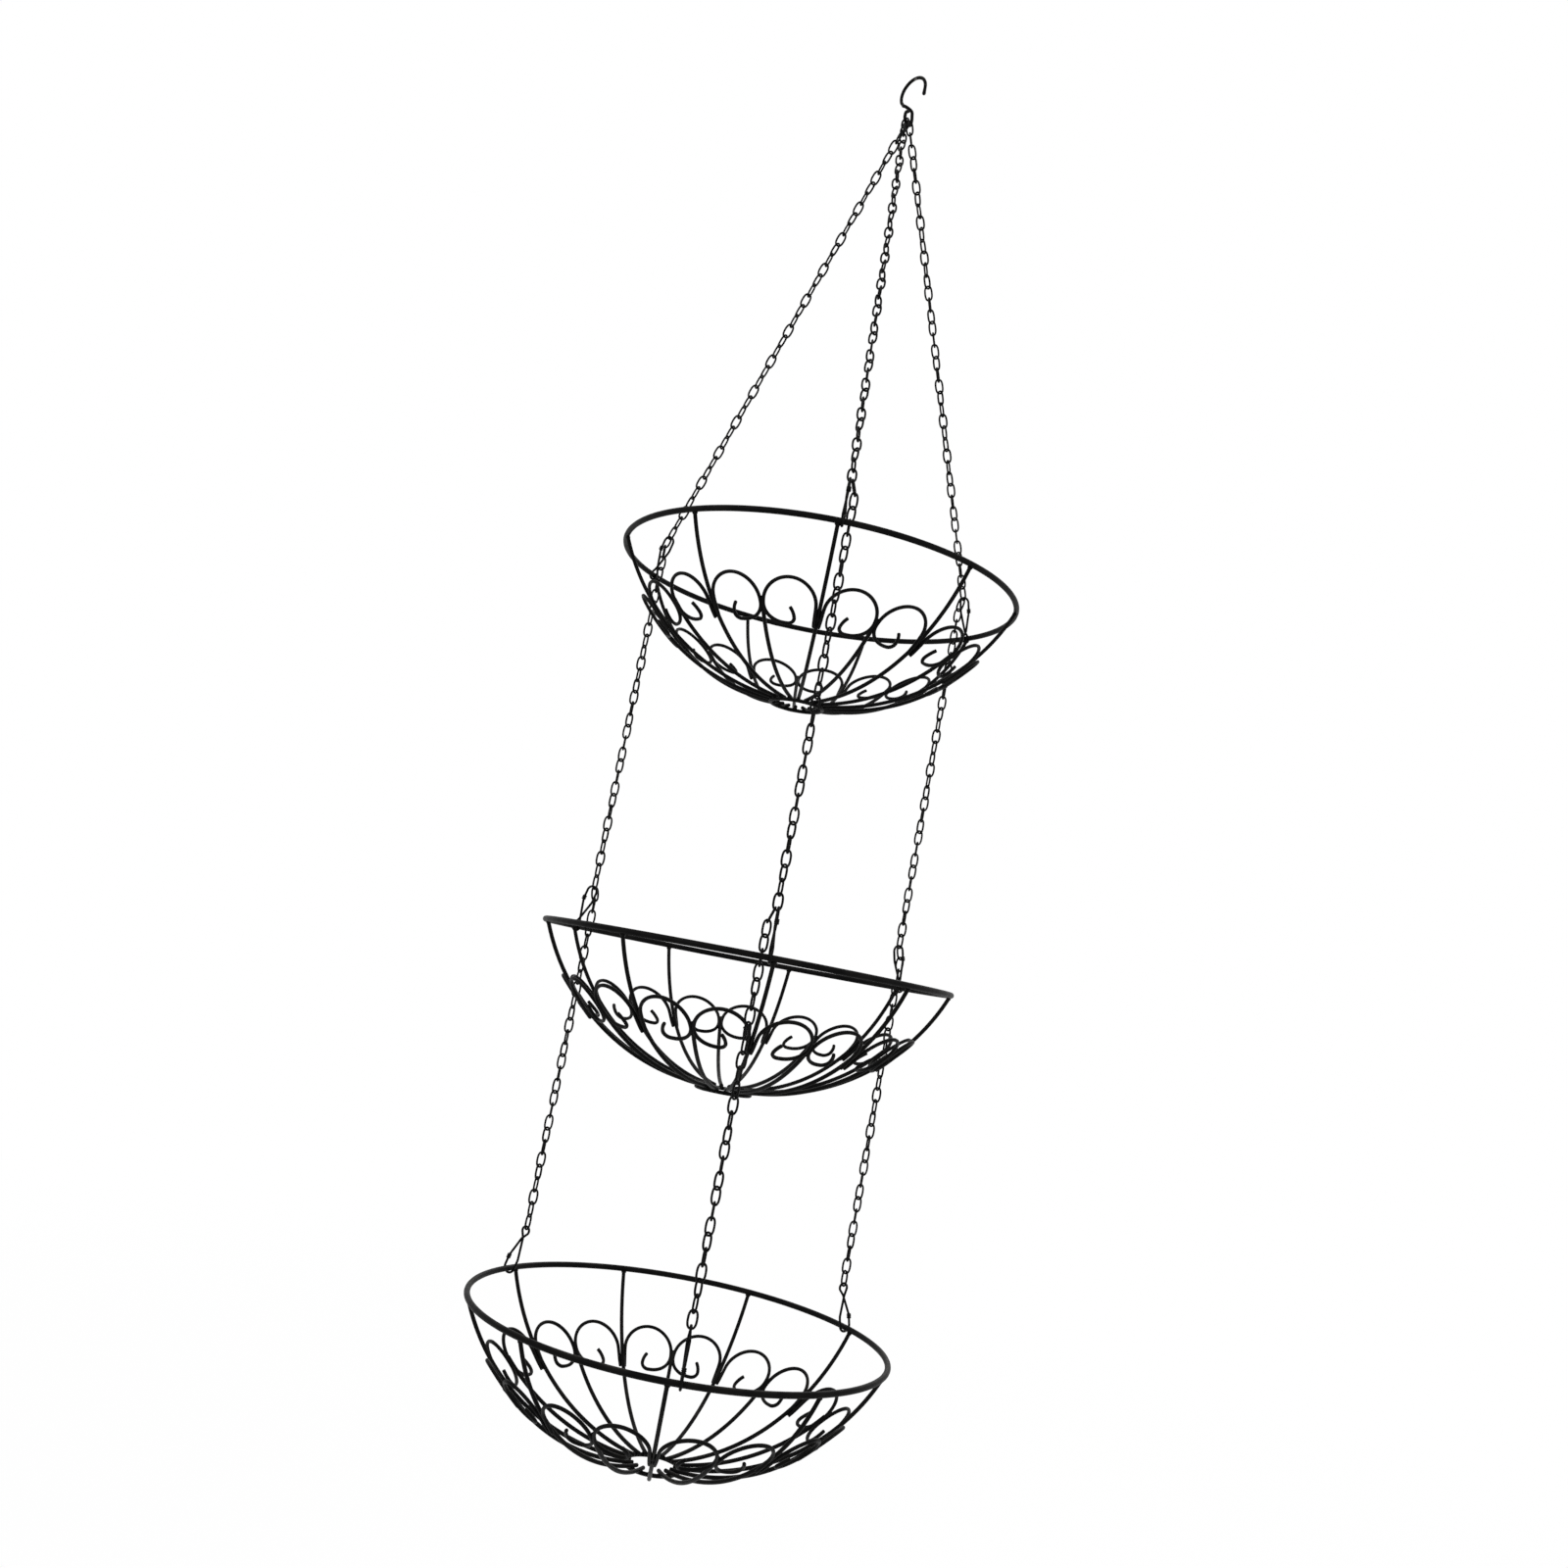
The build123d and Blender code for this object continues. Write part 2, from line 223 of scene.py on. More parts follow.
# Each coat's second, warmer colour: random tone in part, painted sheen for faint highlights.
COATS = {
    "enamelled_wire": {
        "name": "black_enamel",
        "black": (0.0015, 0.0015, 0.0016, 1),
        "tone_and_painted_sheen": (0.005, 0.0048, 0.0044, 1),
        "gloss": (0.34, 0.58),
        "peel": 0.12 * MM,
        "bare": 0.4,
    },
    "link_chain": {
        "name": "chain_lacquer",
        "black": (0.002, 0.002, 0.0022, 1),
        "tone_and_painted_sheen": (0.006, 0.0058, 0.0056, 1),
        "gloss": (0.3, 0.5),
        "peel": 0.05 * MM,
        "bare": 0.5,
    },
    "spring_clip": {
        "name": "spring_lacquer",
        "black": (0.0018, 0.0019, 0.0021, 1),
        "tone_and_painted_sheen": (0.005, 0.0049, 0.0047, 1),
        "gloss": (0.28, 0.46),
        "peel": 0.05 * MM,
        "bare": 0.5,
    },
}


def black_coat(name, black, tone_and_painted_sheen, gloss, peel, bare):
    """Black paint on steel; gloss is the least and most roughness, bare the share of metal."""
    material = bpy.data.materials.new(name)
    graph = Graph(material)
    place = graph.add("ShaderNodeTexCoord", {}, {}, "Object")
    facing = graph.add("ShaderNodeTexCoord", {}, {}, "Normal")
    upward = graph.add("ShaderNodeSeparateXYZ", {}, {"Vector": facing}, "Z")
    broad = graph.clouds(place, *BROAD_CLOUDS)
    flow = graph.clouds(place, *FLOW_CLOUDS)
    grain = graph.clouds(place, *GRAIN_CLOUDS)
    rubbed = graph.add("ShaderNodeAttribute", {"attribute_name": "wear"}, {}, "Fac")

    dust = upward.above(*DUST_FACING) * broad.above(*DUST_PATCHES) * DUST_MOST
    worn = (rubbed + (flow - CLOUD_MEAN) * WEAR_RAGGED).above(*WEAR_EDGE)
    # Lighter warm patches on the black: random tone in part, painted sheen in part.
    paint = graph.mix(broad.above(*TONE_AND_SHEEN_PATCHES), black, tone_and_painted_sheen)
    colour = graph.mix(worn * bare, graph.mix(dust, paint, DUST), STEEL)
    least, most = gloss
    rough = flow * (most - least) + least + dust * DUST_ROUGH + worn * WEAR_ROUGH
    height = grain * GRAIN_HEIGHT + flow * FLOW_HEIGHT - worn * WEAR_DEPTH
    peeled = {"Strength": PEEL_STRENGTH, "Distance": peel, "Height": height}
    inputs = {
        "Base Color": colour,
        "Roughness": rough,
        "Metallic": worn * (bare * STEEL_METALLIC),
        "Normal": graph.add("ShaderNodeBump", {}, peeled),
        "Specular IOR Level": SHINE,
    }
    coat = graph.add("ShaderNodeBsdfPrincipled", {}, inputs)
    graph.add("ShaderNodeOutputMaterial", {}, {"Surface": coat})
    return material


finishes = {slot: black_coat(**coat) for slot, coat in COATS.items()}
print("finishes", sorted(finishes))

# %% [markdown]
# Nearly everything here is bent wire, so one helper does most of the modelling. A line of points
# and a direction square to the bend give a ring of vertices at each point, and rings joined by
# quads make the wire. Blender's curve bevel could do it too, but rings made one by one let the
# wire swell at a weld, end in a proper tip and carry its wear on each vertex. A tip is two more
# rings: how far past the end each lies and how wide it is, in shares of the wire's radius.

# %% Wire from a line
CUT_TIP = ((0.22, 0.9), (0.3, 0.55))
ROUND_TIP = ((0.5, 0.87), (0.87, 0.5))
BEAD_ROWS, BEAD_COLUMNS = 6, 10
LUMP_HEIGHT, LUMP_SCALE, SEED_SLANT = 0.12, 1.7, 0.7


def unit(rows):
    """Each row scaled to length one."""
    return rows / np.linalg.norm(rows, axis=1, keepdims=True)


class Stock:
    """Round wire and weld beads that go into one mesh, with the wear of each vertex."""

    def __init__(self):
        self.points = []
        self.faces = []
        self.wear = []
        self.count = 0

    def keep(self, points, faces, place, rubs):
        """Adds vertices and faces; rubs are (point, reach) where something rubs."""
        wear = np.zeros(len(points))
        for spot, reach in rubs:
            distance = np.linalg.norm(points - np.array(spot), axis=1)
            wear = np.maximum(wear, np.clip(1 - distance / reach, 0, 1))
        if place is not None:
            grid = np.array(place)
            points = points @ grid[:3, :3].T + grid[:3, 3]
        self.points.append(points)
        self.wear.append(wear)
        self.faces += [[corner + self.count for corner in face] for face in faces]
        self.count += len(points)

    def wire(
        self, line, flat, radius, sides=8, closed=False, swell=None,
        tip=CUT_TIP, place=None, rubs=(),
    ):
        """A round wire along a line; flat is square to its bend, once or for each point."""
        line = np.array([tuple(point) for point in line], dtype=float)
        flat = np.broadcast_to(np.array(flat, dtype=float), line.shape)
        radii = radius * (np.ones(len(line)) if swell is None else np.array(swell))
        if closed:
            ahead = unit(np.roll(line, -1, 0) - np.roll(line, 1, 0))
        else:
            ahead = unit(np.vstack([line[1:], line[-1:]]) - np.vstack([line[:1], line[:-1]]))
            tips = [(forward * radius, share * radius) for forward, share in tip]
            first = [(line[0] - ahead[0] * forward, share) for forward, share in reversed(tips)]
            last = [(line[-1] + ahead[-1] * forward, share) for forward, share in tips]
            line = np.vstack([[p for p, _ in first], line, [p for p, _ in last]])
            radii = np.concatenate([[r for _, r in first], radii, [r for _, r in last]])
            ahead = np.vstack([ahead[:1]] * len(tips) + [ahead] + [ahead[-1:]] * len(tips))
            flat = np.vstack([flat[:1]] * len(tips) + [flat] + [flat[-1:]] * len(tips))
        across = unit(np.cross(ahead, flat))
        flat = np.cross(across, ahead)
        turns = np.arange(sides) * 2 * pi / sides
        spokes = across[:, None] * np.cos(turns)[None, :, None]
        spokes = spokes + flat[:, None] * np.sin(turns)[None, :, None]
        rings = line[:, None] + spokes * radii[:, None, None]
        points = rings.reshape(-1, 3)
        count = len(line)
        faces = []
        for i in range(count if closed else count - 1):
            here, there = i * sides, (i + 1) % count * sides
            for j in range(sides):
                k = (j + 1) % sides
                faces.append([here + j, here + k, there + k, there + j])
        if not closed:
            faces.append(list(range(sides))[::-1])
            faces.append([(count - 1) * sides + j for j in range(sides)])
        self.keep(points, faces, place, rubs)

    def bead(self, centre, axes, radii, seed=0.0):
        """A lump of weld: a rounded blob with three half sizes along three directions."""
        rows, columns = BEAD_ROWS, BEAD_COLUMNS
        shell = [Vector((0, 0, 1))]
        for i in range(1, rows):
            for j in range(columns):
                tilt, turn = pi * i / rows, 2 * pi * j / columns
                shell.append(Vector((sin(tilt) * cos(turn), sin(tilt) * sin(turn), cos(tilt))))
        shell.append(Vector((0, 0, -1)))
        centre = Vector(centre)
        shift = Vector((seed, seed * SEED_SLANT, 0))
        lumps = [1 + LUMP_HEIGHT * noise.noise(v * LUMP_SCALE + shift) for v in shell]
        points = [
            centre + sum((Vector(axes[n]) * (v[n] * radii[n] * lump) for n in range(3)), Vector())
            for v, lump in zip(shell, lumps)
        ]
        faces = [[0, 1 + j, 1 + (j + 1) % columns] for j in range(columns)]
        for i in range(rows - 2):
            for j in range(columns):
                k = (j + 1) % columns
                here, there = 1 + i * columns, 1 + (i + 1) * columns
                faces.append([here + j, there + j, there + k, here + k])
        foot = 1 + (rows - 2) * columns
        faces += [[len(shell) - 1, foot + (j + 1) % columns, foot + j] for j in range(columns)]
        self.keep(np.array([tuple(p) for p in points]), faces, None, ())


# %% [markdown]
# Every finished piece stands for one node of the model. It takes that node's name, body and
# material slot from the record, so nothing about which piece moves with which is typed twice.

# %% Put a finished piece in a node's place
SAME_POINT = 0.002 * MM
record = frame["record"]
bodies = record["behaviour"]["bodies"]
node_bodies = {node: body for body, nodes in bodies.items() for node in nodes}
node_slots = {part["node"]: part["material_slot"] for part in record["subparts"]}


def dress(node, stock):
    """Makes the stock into an object that replaces a CAD node."""
    mesh = bpy.data.meshes.new(f"{node}_wire")
    mesh.from_pydata(np.vstack(stock.points).tolist(), [], stock.faces)
    mesh.shade_smooth()
    wear = mesh.attributes.new("wear", "FLOAT", "POINT")
    wear.data.foreach_set("value", np.concatenate(stock.wear))
    mesh.materials.append(finishes[node_slots[node]])
    piece = bpy.data.objects.new(f"{node}_wire", mesh)
    bpy.context.collection.objects.link(piece)
    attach(piece, node_bodies[node])
    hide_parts(node)
    return piece


def solids(node):
    """The corner points of each separate solid of a CAD node, in the order of its mesh."""
    shape = bmesh.new()
    shape.from_mesh(frame["nodes"][node].data)
    bmesh.ops.remove_doubles(shape, verts=shape.verts, dist=SAME_POINT)
    shape.verts.ensure_lookup_table()
    seen = set()
    groups = []
    for start in shape.verts:
        if start.index in seen:
            continue
        seen.add(start.index)
        group, queue = [], [start]
        while queue:
            vert = queue.pop()
            group.append(tuple(vert.co))
            for edge in vert.link_edges:
                other = edge.other_vert(vert)
                if other.index not in seen:
                    seen.add(other.index)
                    queue.append(other)
        groups.append(np.array(group))
    shape.free()
    return groups


def azimuths(node):
    """The directions, in radians, of the solids that stand round a bowl."""
    centres = [group.mean(axis=0) for group in solids(node)]
    return sorted(atan2(centre[1], centre[0]) for centre in centres)


def round_about(azimuth):
    """Outward and sideways directions at an azimuth."""
    return Vector((cos(azimuth), sin(azimuth), 0)), Vector((-sin(azimuth), cos(azimuth), 0))


# %% [markdown]
# The wall of a bowl is a shallow arc that starts at the rim and flattens out towards the base
# ring. Ribs and scrolls both follow it, so its radius and height are worked out once, at any
# length of wall below the rim.

# %% The curve of the wall
RIM_RADIUS = 140.0 * MM
RIM_WIRE = 4.0 * MM
WALL_RISE = 53.1 * MM
WALL_AXIS_OFFSET = 8.2 * MM
BASE_RING_RADIUS = 18.5 * MM
RIB_WIRE = 2.7 * MM
SCROLL_WIRE = 2.45 * MM

wall_radius = sqrt(WALL_RISE**2 + (RIM_RADIUS - WALL_AXIS_OFFSET) ** 2)
rim_angle = -asin(WALL_RISE / wall_radius)
base_angle = -acos((BASE_RING_RADIUS - WALL_AXIS_OFFSET) / wall_radius)
base_drop = wall_radius * (rim_angle - base_angle)


def wall(drop):
    """Radius, height below the rim, and outward slope of the wall at a length of wall."""
    angle = rim_angle - drop / wall_radius
    radius = WALL_AXIS_OFFSET + wall_radius * cos(angle)
    return radius, WALL_RISE + wall_radius * sin(angle), angle


def wall_spot(tier, azimuth, drop, stand_off=0.0):
    """A point on the wall of a bowl, or a little outside it, and the way out of the wall there."""
    radius, height, angle = wall(drop)
    outward, _ = round_about(azimuth)
    normal = outward * cos(angle) + Vector((0, 0, sin(angle)))
    spot = outward * radius + Vector((0, 0, rim_height(tier) + height))
    return spot + normal * stand_off, normal


print("wall radius", wall_radius, "length of wall", base_drop, "depth", -wall(base_drop)[1])

# %% [markdown]
# The rim is a thick wire bent to a circle and butt welded, which leaves a low collar somewhere on
# it. Three clips sit on each rim and rub its enamel there. The base ring is the same thing in a
# thinner wire, under the ends of the ribs.

# %% Rims and base rings
RIM_STEPS, RIM_SIDES = 168, 14
BASE_RING_STEPS, BASE_RING_SIDES = 60, 10
SEAM_WIDTH = 2.4 * MM
SEAM_SWELL = 0.08
RING_SINK = 0.4 * MM
RUB_REACH = 3.4 * MM
rim_seams = {"top": 98.0, "middle": 221.0, "bottom": 305.0}


def bent_ring(radius, height, wire, seam, sides, steps, rubs=()):
    """A welded ring of round wire, level, with its weld at an azimuth in degrees."""
    stock = Stock()
    turns = [2 * pi * i / steps for i in range(steps)]
    line = [(radius * cos(t), radius * sin(t), height) for t in turns]
    gaps = [abs((t - radians(seam) + pi) % (2 * pi) - pi) * radius for t in turns]
    swell = [1 + SEAM_SWELL * np.exp(-((gap / SEAM_WIDTH) ** 2)) for gap in gaps]
    stock.wire(line, (0, 0, 1), wire / 2, sides, closed=True, swell=swell, rubs=rubs)
    return stock


for tier in TIERS:
    height, seam = rim_height(tier), rim_seams[tier]
    rubs = []
    for azimuth in SIDES.values():
        outward, _ = round_about(radians(azimuth))
        rubs.append((outward * RIM_RADIUS + Vector((0, 0, height + RIM_WIRE / 2)), RUB_REACH))
    ring = bent_ring(RIM_RADIUS, height, RIM_WIRE, seam, RIM_SIDES, RIM_STEPS, rubs)
    dress(f"{tier}_rim", ring)
    height = height + wall(base_drop)[1] - RIB_WIRE + RING_SINK
    ring = bent_ring(BASE_RING_RADIUS, height, RIB_WIRE, seam, BASE_RING_SIDES, BASE_RING_STEPS)
    dress(f"{tier}_base_ring", ring)
print("rims at", [round(rim_height(tier), 5) for tier in TIERS])

# %% [markdown]
# Nine full ribs run from the underside of the rim over the base ring and end in short stubs
# inside it. Nine short ribs stand half way between them and start where two scrolls meet. Their
# directions are read from the model. A weld bead sits at each crossing: a squashed blob, a little
# lumpy, because a resistance weld squeezes the two wires into each other.

# %% Ribs and their welds
RIB_STUB = 4.0 * MM
RIB_TOP = 1.2 * MM
SHORT_RIB_TOP = 55.9 * MM
RIB_STEPS, SHORT_RIB_STEPS, RIB_SIDES = 44, 26, 10
BASE_WELD = (1.7 * MM, 1.6 * MM, 1.15 * MM)
RIM_WELD = (2.0 * MM, 1.65 * MM, 1.25 * MM)
RIM_WELD_LOWER = 0.35 * MM
RIM_WELD_SEED = 3.1
FULL_RIB_SEED, FULL_RIB_FIRST = 1.3, 9
SHORT_RIB_SEED, SHORT_RIB_FIRST = 2.3, 5


def rib(stock, tier, azimuth, first, last, steps):
    """One rib down the wall at an azimuth."""
    drops = [first + (last - first) * i / steps for i in range(steps + 1)]
    line = [wall_spot(tier, azimuth, drop)[0] for drop in drops]
    stock.wire(line, round_about(azimuth)[1], RIB_WIRE / 2, RIB_SIDES)


def base_weld(stock, tier, azimuth, seed):
    """The weld between a rib and the base ring below it."""
    spot, normal = wall_spot(tier, azimuth, base_drop, RIB_WIRE / 2 - RING_SINK / 2)
    outward, sideways = round_about(azimuth)
    stock.bead(spot, (outward, sideways, normal), BASE_WELD, seed)


def rim_weld(stock, tier, azimuth, seed):
    """The weld between the top of a rib and the underside of the rim."""
    spot, normal = wall_spot(tier, azimuth, RIM_WIRE / 2 + RIM_WELD_LOWER)
    _, sideways = round_about(azimuth)
    stock.bead(spot, (sideways, normal, normal.cross(sideways)), RIM_WELD, seed)


full_azimuths = {tier: azimuths(f"{tier}_full_ribs") for tier in TIERS}
short_azimuths = {tier: azimuths(f"{tier}_short_ribs") for tier in TIERS}
for tier in TIERS:
    stock = Stock()
    for i, azimuth in enumerate(full_azimuths[tier]):
        rib(stock, tier, azimuth, RIB_TOP, base_drop + RIB_STUB, RIB_STEPS)
        rim_weld(stock, tier, azimuth, RIM_WELD_SEED * i)
        base_weld(stock, tier, azimuth, FULL_RIB_SEED * i + FULL_RIB_FIRST)
    dress(f"{tier}_full_ribs", stock)
    stock = Stock()
    for i, azimuth in enumerate(short_azimuths[tier]):
        rib(stock, tier, azimuth, SHORT_RIB_TOP, base_drop + RIB_STUB, SHORT_RIB_STEPS)
        base_weld(stock, tier, azimuth, SHORT_RIB_SEED * i + SHORT_RIB_FIRST)
    dress(f"{tier}_short_ribs", stock)
    print(tier, "first full rib at", round(degrees(full_azimuths[tier][0]), 2))

# %% [markdown]
# Each bay between two full ribs holds a pair of scrolls, mirror images of each other. A scroll is
# drawn flat first: its tail climbs beside the rib, goes over in a big round arc to the middle of
# the bay, comes back underneath in a smaller one and ends in a little hook that points up and
# opens slowly. The drawing's middle is the centre of the big arc.

# %% The outline of a scroll
SCROLL_DROP = 56.7 * MM
SCROLL_STAND_OFF = 0.85 * MM
TAIL_REACH = 15.0 * MM
TAIL_SIDE = 1.55 * MM
TAIL_LIFT = 0.8 * MM
TOP_SHARE = 0.957
LOWER_SHARE = 0.816
LOWER_DROP = 1.5 * MM
HOOK_RADIUS = 4.5 * MM
HOOK_FLAT = 1.6 * MM
HOOK_TURN = 6.0
END_RADIUS = 15.0 * MM
END_TURN = 30.0
TAIL_STEPS, TOP_STEPS, LOWER_STEPS, HOOK_ARC_STEPS, END_STEPS = 8, 30, 14, 10, 6
bay = 2 * pi / len(full_azimuths["top"])


def arc(centre, radius, first, last, steps):
    """Points of a drawn arc, from one angle to another in degrees."""
    angles = [radians(first + (last - first) * i / steps) for i in range(steps + 1)]
    return [(centre[0] + radius * cos(a), centre[1] + radius * sin(a)) for a in angles]


def scroll_outline():
    """The drawing of one scroll, sideways and upward from its centre."""
    right = wall(SCROLL_DROP)[0] * bay / 4 - SCROLL_WIRE / 2
    top, lower = right * TOP_SHARE, right * LOWER_SHARE
    left = right - 2 * top
    tail = (TAIL_SIDE - wall(SCROLL_DROP + TAIL_REACH)[0] * bay / 4, -TAIL_REACH)
    points = []
    for i in range(TAIL_STEPS):
        t = i / TAIL_STEPS
        side = (1 - t) ** 3 * tail[0] + 3 * (1 - t) ** 2 * t * tail[0]
        side = side + 3 * (1 - t) * t * t * left + t**3 * left
        points.append((side, tail[1] * (1 - t)))
    points += arc((right - top, 0), top, 180, 0, TOP_STEPS)
    points += arc((right - lower, -LOWER_DROP), lower, 0, -90, LOWER_STEPS)
    hook = (right - lower - HOOK_FLAT, -LOWER_DROP - lower + HOOK_RADIUS)
    points += arc(hook, HOOK_RADIUS, -90, -180 - HOOK_TURN, HOOK_ARC_STEPS)
    first, further = 180 - HOOK_TURN, END_RADIUS - HOOK_RADIUS
    end = (hook[0] - further * cos(radians(first)), hook[1] - further * sin(radians(first)))
    return points + arc(end, END_RADIUS, first, first - END_TURN, END_STEPS)[1:]


outline = scroll_outline()
scroll_sides = [side for side, _ in outline]
print("scroll", len(outline), "points, width", max(scroll_sides) - min(scroll_sides))

# %% [markdown]
# The flat drawing is laid on the wall, where sideways becomes an angle round the bowl, so that the
# scroll hugs the bowl as the real one does. Towards its end the tail lifts off the wall a little,
# because it lies half over its rib. Long welds hold each tail to the rib and the two scrolls of a
# bay to each other.

# %% Scrolls on the wall
SCROLL_WELD_WIDTH, SCROLL_WELD_THICK = 1.25 * MM, 1.1 * MM
TAIL_WELD, MEETING_WELD = 2.2 * MM, 2.1 * MM
TAIL_WELD_SHARE = 0.62
MEETING_WELD_LOWER = 0.5 * MM
TAIL_WELD_SEED, MEETING_WELD_SEED = 2.9, 4.7


def scroll(stock, tier, azimuth, hand):
    """A scroll in the half bay beside a rib; hand is 1 or -1 for the side of the rib."""
    line, normals = [], []
    for side, rise in outline:
        drop = SCROLL_DROP - rise
        turn = hand * (bay / 4 + side / wall(drop)[0])
        on_tail = turn * hand < bay / 8
        stand_off = SCROLL_STAND_OFF + TAIL_LIFT * max(0, -rise / TAIL_REACH) * on_tail
        spot, normal = wall_spot(tier, azimuth + turn, drop, stand_off)
        line.append(spot)
        normals.append(tuple(normal))
    stock.wire(line, normals, SCROLL_WIRE / 2)


def scroll_weld(stock, tier, azimuth, drop, long, seed):
    """A weld along the wall, longer than wide, such as between a tail and its rib."""
    spot, normal = wall_spot(tier, azimuth, drop, SCROLL_STAND_OFF / 2)
    _, sideways = round_about(azimuth)
    radii = (SCROLL_WELD_WIDTH, SCROLL_WELD_THICK, long)
    stock.bead(spot, (sideways, normal, normal.cross(sideways)), radii, seed)


tail_drop = SCROLL_DROP + TAIL_REACH * TAIL_WELD_SHARE
meeting_drop = SCROLL_DROP + MEETING_WELD_LOWER
for tier in TIERS:
    stock = Stock()
    for i, azimuth in enumerate(full_azimuths[tier]):
        for hand in (1, -1):
            scroll(stock, tier, azimuth, hand)
            beside = azimuth + hand * (TAIL_SIDE / 2) / wall(tail_drop)[0]
            scroll_weld(stock, tier, beside, tail_drop, TAIL_WELD, TAIL_WELD_SEED * i + hand)
        meeting = azimuth + bay / 2
        scroll_weld(stock, tier, meeting, meeting_drop, MEETING_WELD, MEETING_WELD_SEED * i)
    dress(f"{tier}_scrolls", stock)
print("scrolls", len(full_azimuths["top"]) * 2, "on each bowl")

# %% [markdown]
# A chain link is bent from thin wire and closed by pressing its ends together, which leaves a fine
# groove half way along one side. The model holds each link as a small rectangle at its true place
# and turn, so the oval link is drawn once and laid on every rectangle. A rectangle's place is the
# mean of its corners, and its three directions are those in which the corners spread most, less
# and least. The oval lies between an ellipse and a rectangle: a power below 1 squares it.

# %% Chain links
LINK_WIRE = 1.45 * MM
LINK_WIDTH = 6.8 * MM
LINK_PLAY = 0.25 * MM
GROOVE = 0.16 * MM
GROOVE_SWELL, PRESSED_SWELL = 0.8, 1.02
LINK_OVAL = 0.78
LINK_STEPS = 24
LINK_RUB = 1.7 * MM


def link_places(node):
    """The place and turn of each link of a CAD node."""
    places = []
    for corners in solids(node):
        centre = corners.mean(axis=0)
        _, spread = np.linalg.eigh(np.cov((corners - centre).T))
        wide, long = spread[:, 1], spread[:, 2]
        long = long * (-1 if long[2] > 0 else 1)
        grid = np.identity(4)
        grid[:3] = np.stack([wide, np.cross(long, wide), long, centre], axis=1)
        places.append(Matrix(grid.tolist()))
    return places


def spacing(node):
    """How far apart the links of a straight run lie, from centre to centre."""
    heights = [place.translation.z for place in link_places(node)]
    return (max(heights) - min(heights)) / (len(heights) - 1)


link_pitch = spacing("middle_chain_front")
link_side = (LINK_WIDTH - LINK_WIRE) / 2
link_half = (link_pitch + LINK_PLAY + LINK_WIRE) / 2


def link_drawing():
    """The oval centre line of a link with the swell of its wire, which dips at the groove."""
    points = [(link_side, 0), (link_side, GROOVE)]
    for i in range(1, LINK_STEPS):
        across, along = cos(2 * pi * i / LINK_STEPS), sin(2 * pi * i / LINK_STEPS)
        across, along = (copysign(abs(share) ** LINK_OVAL, share) for share in (across, along))
        points.append((link_side * across, link_half * along))
    points.append((link_side, -GROOVE))
    swell = [GROOVE_SWELL, PRESSED_SWELL] + [1] * (LINK_STEPS - 1) + [PRESSED_SWELL]
    return [(x, 0, z) for x, z in points], swell


link_line, link_swell = link_drawing()
inner_half = (link_pitch + LINK_PLAY) / 2
link_rubs = [((0, 0, end), LINK_RUB) for end in (inner_half, -inner_half)]
link_count = 0
for node in node_slots:
    if node_slots[node] != "link_chain":
        continue
    stock = Stock()
    for place in link_places(node):
        placed = {"place": place, "rubs": link_rubs}
        stock.wire(link_line, (0, 1, 0), LINK_WIRE / 2, closed=True, swell=link_swell, **placed)
        link_count += 1
    dress(node, stock)
print("links", link_count)

# %% [markdown]
# A spring clip is one piece of springy wire: a wide round end, two arms that cross, and a small
# eye. One arm is cut near the wide end, where it opens, and fine wire curled round it there
# latches it. The clip is drawn flat with rounded corners, upwards from its wide end, and then each
# arm is lifted a little to its own side where they cross, so that they pass each other.

# %% The drawing of a clip
CLIP_WIRE = 1.7 * MM
CLIP_HALF = 4.0 * MM
CLIP_EYE = 2.95 * MM
CLIP_SEAT = 0.9 * MM
CLIP_LATCH = 9.5 * MM
LATCH_GAP = 1.0 * MM
CLIP_ARM = 11.0 * MM
ARM_BEND = 9.0 * MM
CLIP_CROSSING = 5.6 * MM
CROSSING_BEND = 6.0 * MM
CROSSING_LIFT = 0.72 * MM
EYE_FIRST, EYE_LAST = -32, 212
CLIP_END_STEPS, CLIP_EYE_STEPS = 16, 20
BEND_STEPS = 7
BEND_SHARE = 0.48
TRIAL_LENGTH = 30 * MM
clip_half_wire = CLIP_WIRE / 2


def bend(corners):
    """A drawn line from corners (x, y, radius), each rounded by an arc between its sides."""
    line = []
    for i, (x, y, radius) in enumerate(corners):
        here = Vector((x, y))
        if radius == 0 or i in (0, len(corners) - 1):
            line.append((x, y))
            continue
        before = Vector(corners[i - 1][:2]) - here
        after = Vector(corners[i + 1][:2]) - here
        half = before.angle(after) / 2
        cut = min(radius / tan(half), before.length * BEND_SHARE, after.length * BEND_SHARE)
        middle = here + (before.normalized() + after.normalized()).normalized() * (cut / cos(half))
        start = here + before.normalized() * cut - middle
        turn = (pi - 2 * half) * (1 if before.cross(after) < 0 else -1)
        for j in range(BEND_STEPS + 1):
            line.append(tuple(middle + Matrix.Rotation(turn * j / BEND_STEPS, 2) @ start))
    return line


